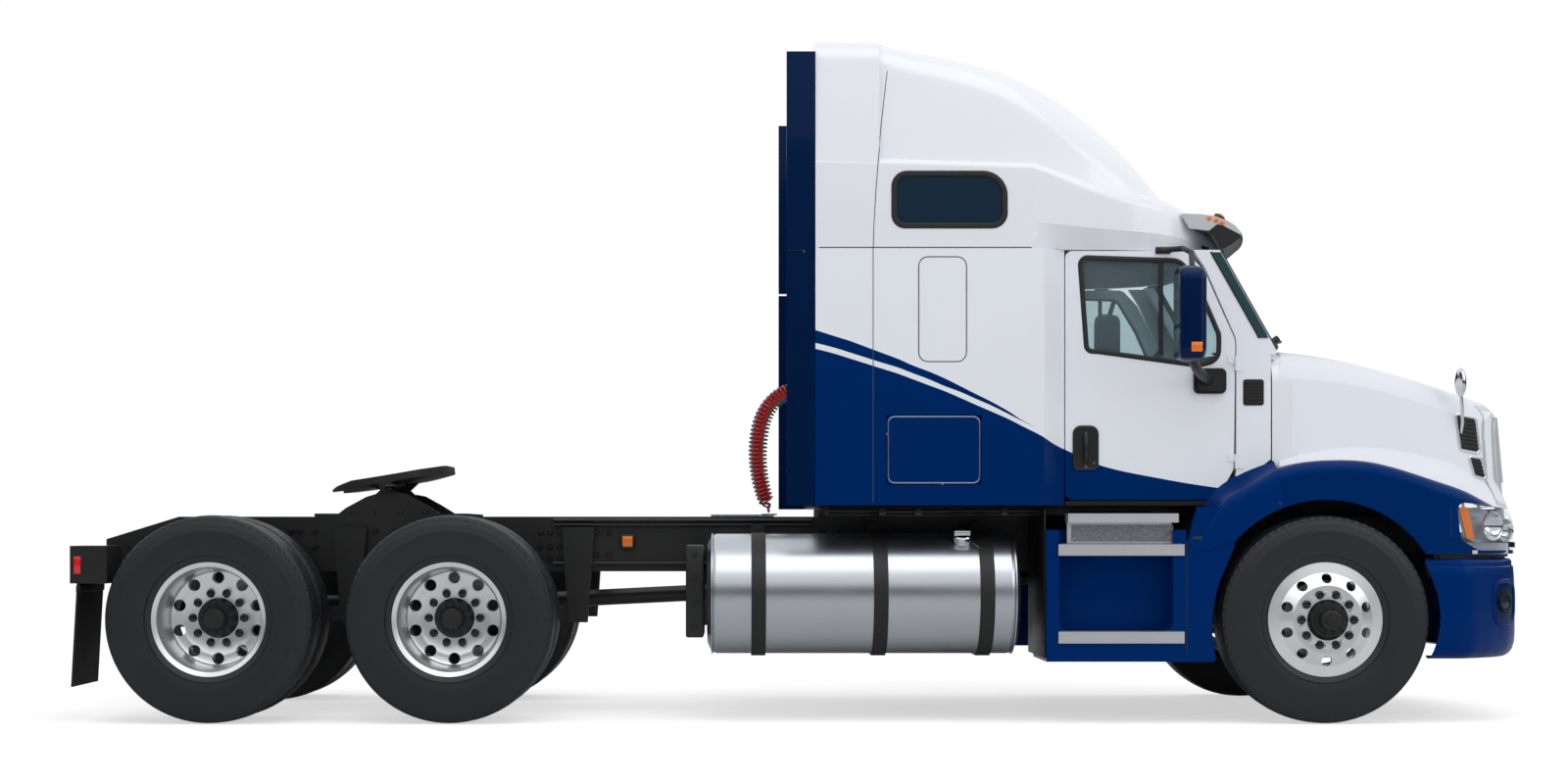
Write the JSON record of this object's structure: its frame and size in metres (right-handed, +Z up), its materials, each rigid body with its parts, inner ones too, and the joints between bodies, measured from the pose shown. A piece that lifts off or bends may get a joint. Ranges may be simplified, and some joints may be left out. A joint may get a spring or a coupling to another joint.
{
  "type": "semi truck tractor unit",
  "caption": "Sleeper-cab tractor unit with tilting bonnet, tandem drive axles on twin tyres, steered front axle, fuel tanks and a tilting fifth wheel.",
  "frame": {"origin": "on the ground, under the middle of the truck", "axes": "+X forward, +Y to the truck's left, +Z up"},
  "size_m": [8.097, 3.0806, 3.7678],
  "materials": {
    "white_paint": "gloss",
    "blue_paint": "gloss",
    "dark_blue_paint": "gloss",
    "frame_paint": "satin",
    "cast_metal": "satin",
    "polished_aluminium": "polished",
    "chrome": "polished",
    "tyre": "matt",
    "rubber": "matt",
    "glass": "gloss",
    "lamp_glass": "gloss",
    "black_plastic": "satin",
    "interior_plastic": "matt",
    "upholstery": "matt",
    "red_hose": "gloss",
    "blue_hose": "gloss",
    "green_hose": "gloss"
  },
  "bodies": {
    "chassis": {"frame_rails": "frame_paint", "frame_crossmembers": "frame_paint", "rear_suspension": "cast_metal", "drive_axles": "cast_metal", "drive_shafts": "frame_paint", "engine_and_radiator": "cast_metal", "front_axle": "cast_metal", "sleeper_side_right": "white_paint", "sleeper_side_left": "white_paint", "cab_floor": "white_paint", "roof_fairing": "white_paint", "cab_cowl": "white_paint", "cab_glass": "glass", "side_extenders": "dark_blue_paint", "seats": "upholstery", "bunk_mattress": "upholstery", "dashboard": "interior_plastic", "sun_visor": "black_plastic", "bumper": "blue_paint", "fuel_tanks": "polished_aluminium", "tank_straps": "frame_paint", "side_fairings": "blue_paint", "steps": "polished_aluminium", "fifth_wheel_base": "frame_paint", "rear_light_bar": "frame_paint", "mud_flaps": "rubber", "deck_plate": "polished_aluminium", "red_air_coil": "red_hose", "green_electric_coil": "green_hose", "blue_air_coil": "blue_hose", "air_line_holders": "black_plastic"},
    "bonnet": {"hood": "white_paint", "headlamps": "lamp_glass", "grille": "chrome", "hood_mirrors": "chrome"},
    "right_door": {"door_right": "white_paint", "door_glass_right": "glass", "door_mirror_right": "dark_blue_paint"},
    "left_door": {"door_left": "white_paint", "door_glass_left": "glass", "door_mirror_left": "dark_blue_paint"},
    "right_baggage_door": {"baggage_door_right": "blue_paint"},
    "left_baggage_door": {"baggage_door_left": "blue_paint"},
    "right_knuckle": {"steering_knuckle_right": "cast_metal"},
    "left_knuckle": {"steering_knuckle_left": "cast_metal"},
    "steering_link": {"tie_rod": "frame_paint"},
    "coupling_plate": {"fifth_wheel_plate": "frame_paint"},
    "front_wheel_set_right": {"front_tyre_right": "tyre", "front_wheel_right": "polished_aluminium"},
    "forward_drive_set_right": {"forward_drive_tyres_right": "tyre", "forward_drive_wheel_right": "polished_aluminium"},
    "rear_drive_set_right": {"rear_drive_tyres_right": "tyre", "rear_drive_wheel_right": "polished_aluminium"},
    "front_wheel_set_left": {"front_tyre_left": "tyre", "front_wheel_left": "polished_aluminium"},
    "forward_drive_set_left": {"forward_drive_tyres_left": "tyre", "forward_drive_wheel_left": "polished_aluminium"},
    "rear_drive_set_left": {"rear_drive_tyres_left": "tyre", "rear_drive_wheel_left": "polished_aluminium"}
  },
  "joints": [
    {"name": "steer_right", "type": "hinge", "parent": "chassis", "child": "right_knuckle", "pos_m": [2.827, -0.9, 0.572], "axis": [0, 0, 1], "range_deg": [-35, 35]},
    {"name": "front_wheel_spin_right", "type": "hinge", "parent": "right_knuckle", "child": "front_wheel_set_right", "pos_m": [2.827, -1.08, 0.572], "axis": [0, 1, 0], "continuous": true},
    {"name": "forward_drive_spin_right", "type": "hinge", "parent": "chassis", "child": "forward_drive_set_right", "pos_m": [-1.9645, -0.9125, 0.572], "axis": [0, 1, 0], "continuous": true},
    {"name": "rear_drive_spin_right", "type": "hinge", "parent": "chassis", "child": "rear_drive_set_right", "pos_m": [-3.2795, -0.9125, 0.572], "axis": [0, 1, 0], "continuous": true},
    {"name": "door_hinge_right", "type": "hinge", "parent": "chassis", "child": "right_door", "pos_m": [2.36, -1.099, 1.9], "axis": [0, 0, 1], "range_deg": [0, 70]},
    {"name": "baggage_door_hinge_right", "type": "hinge", "parent": "chassis", "child": "right_baggage_door", "pos_m": [0.92, -1.191, 1.5], "axis": [0, 0, 1], "range_deg": [0, 100]},
    {"name": "steer_left", "type": "hinge", "parent": "chassis", "child": "left_knuckle", "pos_m": [2.827, 0.9, 0.572], "axis": [0, 0, 1], "range_deg": [-35, 35]},
    {"name": "front_wheel_spin_left", "type": "hinge", "parent": "left_knuckle", "child": "front_wheel_set_left", "pos_m": [2.827, 1.08, 0.572], "axis": [0, 1, 0], "continuous": true},
    {"name": "forward_drive_spin_left", "type": "hinge", "parent": "chassis", "child": "forward_drive_set_left", "pos_m": [-1.9645, 0.9125, 0.572], "axis": [0, 1, 0], "continuous": true},
    {"name": "rear_drive_spin_left", "type": "hinge", "parent": "chassis", "child": "rear_drive_set_left", "pos_m": [-3.2795, 0.9125, 0.572], "axis": [0, 1, 0], "continuous": true},
    {"name": "door_hinge_left", "type": "hinge", "parent": "chassis", "child": "left_door", "pos_m": [2.36, 1.099, 1.9], "axis": [0, 0, -1], "range_deg": [0, 70]},
    {"name": "baggage_door_hinge_left", "type": "hinge", "parent": "chassis", "child": "left_baggage_door", "pos_m": [0.92, 1.191, 1.5], "axis": [0, 0, -1], "range_deg": [0, 100]},
    {"name": "tie_rod_ball", "type": "hinge", "parent": "right_knuckle", "child": "steering_link", "pos_m": [2.577, -0.9, 0.44], "axis": [0, 0, 1], "range_deg": [-35, 35]},
    {"name": "hood_tilt", "type": "hinge", "parent": "chassis", "child": "bonnet", "pos_m": [4.025, 0, 0.918], "axis": [0, 1, 0], "range_deg": [0, 60]},
    {"name": "fifth_wheel_tilt", "type": "hinge", "parent": "chassis", "child": "coupling_plate", "pos_m": [-2.42, 0, 1.312], "axis": [0, 1, 0], "range_deg": [0, 20]}
  ],
  "couplings": [
    {"joint": "steer_left", "follows": "steer_right", "ratio": 1},
    {"joint": "tie_rod_ball", "follows": "steer_right", "ratio": -1}
  ]
}
